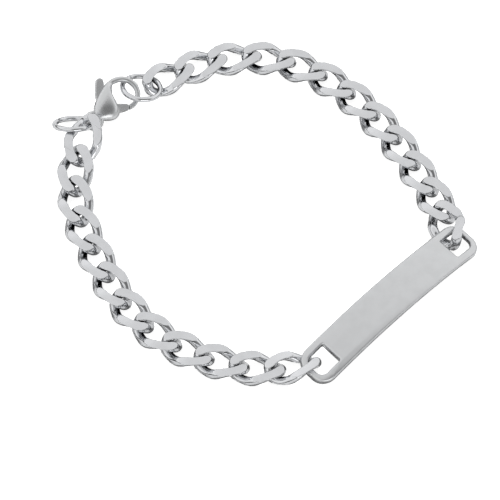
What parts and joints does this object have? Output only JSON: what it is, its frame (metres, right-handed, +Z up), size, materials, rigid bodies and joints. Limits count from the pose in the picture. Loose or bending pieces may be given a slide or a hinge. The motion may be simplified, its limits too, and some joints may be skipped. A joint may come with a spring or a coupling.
{
  "type": "flat curb chain identity bracelet",
  "caption": "Closed bracelet lying flat: ground curb chain links, an arched plain name plate with slotted ends, two jump rings and a lobster clasp with a sprung lever.",
  "frame": {"origin": "on the surface under the middle of the loop's bounding box", "axes": "+X across the loop towards the plate's side, +Y away from the viewer, towards the clasp's side, +Z up"},
  "size_m": [0.0784, 0.075, 0.0063],
  "materials": {
    "chain": "polished stainless steel, ground flat on both faces",
    "rings": "polished stainless steel wire",
    "plate": "fine satin stainless steel",
    "clasp": "soft satin cast stainless steel"
  },
  "bodies": {
    "bracelet": {"id_plate": "plate", "left_link_1": "chain", "left_link_2": "chain", "left_link_3": "chain", "left_link_4": "chain", "left_link_5": "chain", "left_link_6": "chain", "left_link_7": "chain", "left_link_8": "chain", "left_link_9": "chain", "left_link_10": "chain", "left_link_11": "chain", "left_link_12": "chain", "right_link_1": "chain", "right_link_2": "chain", "right_link_3": "chain", "right_link_4": "chain", "right_link_5": "chain", "right_link_6": "chain", "right_link_7": "chain", "right_link_8": "chain", "right_link_9": "chain", "right_link_10": "chain", "right_link_11": "chain", "right_link_12": "chain", "left_ring": "rings", "right_ring": "rings", "clasp_body": "clasp"},
    "lever": {"clasp_lever": "clasp"}
  },
  "joints": [
    {"name": "lever_pivot", "type": "hinge", "parent": "bracelet", "child": "lever", "pos_m": [-0.0291, 0.02215, 0.00223], "axis": [0.2594, -0.3523, 0.8992], "range_deg": [0, 20], "stiffness_Nm_per_rad": 0.02, "springref_deg": -20.05}
  ]
}
